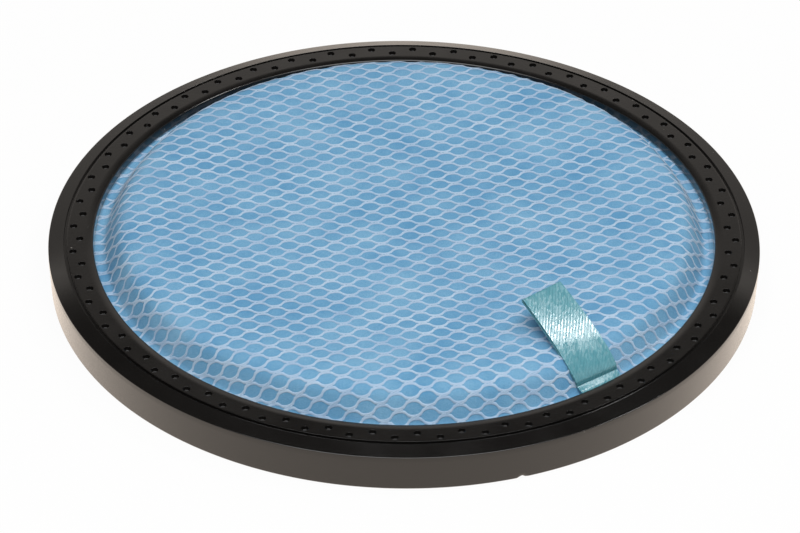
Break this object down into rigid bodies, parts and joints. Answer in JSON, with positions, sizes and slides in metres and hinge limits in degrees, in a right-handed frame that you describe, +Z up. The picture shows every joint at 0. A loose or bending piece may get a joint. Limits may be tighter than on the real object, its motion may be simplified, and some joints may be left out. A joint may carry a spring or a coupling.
{
  "type": "vacuum cleaner filter",
  "caption": "Round washable filter: soft blue pad under a knitted net, moulded into a black rubber sealing rim, with a folded ribbon loop to pull it out.",
  "frame": {"origin": "centre of the rim's flat base, on the surface the filter lies on", "axes": "+Z up along the rim's axis, out of the net-covered face; -Y towards the pull ribbon; +X on a hole of the outer row"},
  "size_m": [0.15, 0.15, 0.0211],
  "materials": {
    "rubber": "satin black moulded rubber",
    "pad_felt": "matt blue filter felt",
    "net_yarn": "pale knitted polyester net",
    "satin_ribbon": "teal satin weave"
  },
  "bodies": {
    "root": {"seal_rim": "rubber", "filter_pad": "pad_felt", "cover_net": "net_yarn", "pull_ribbon": "satin_ribbon"}
  },
  "joints": []
}
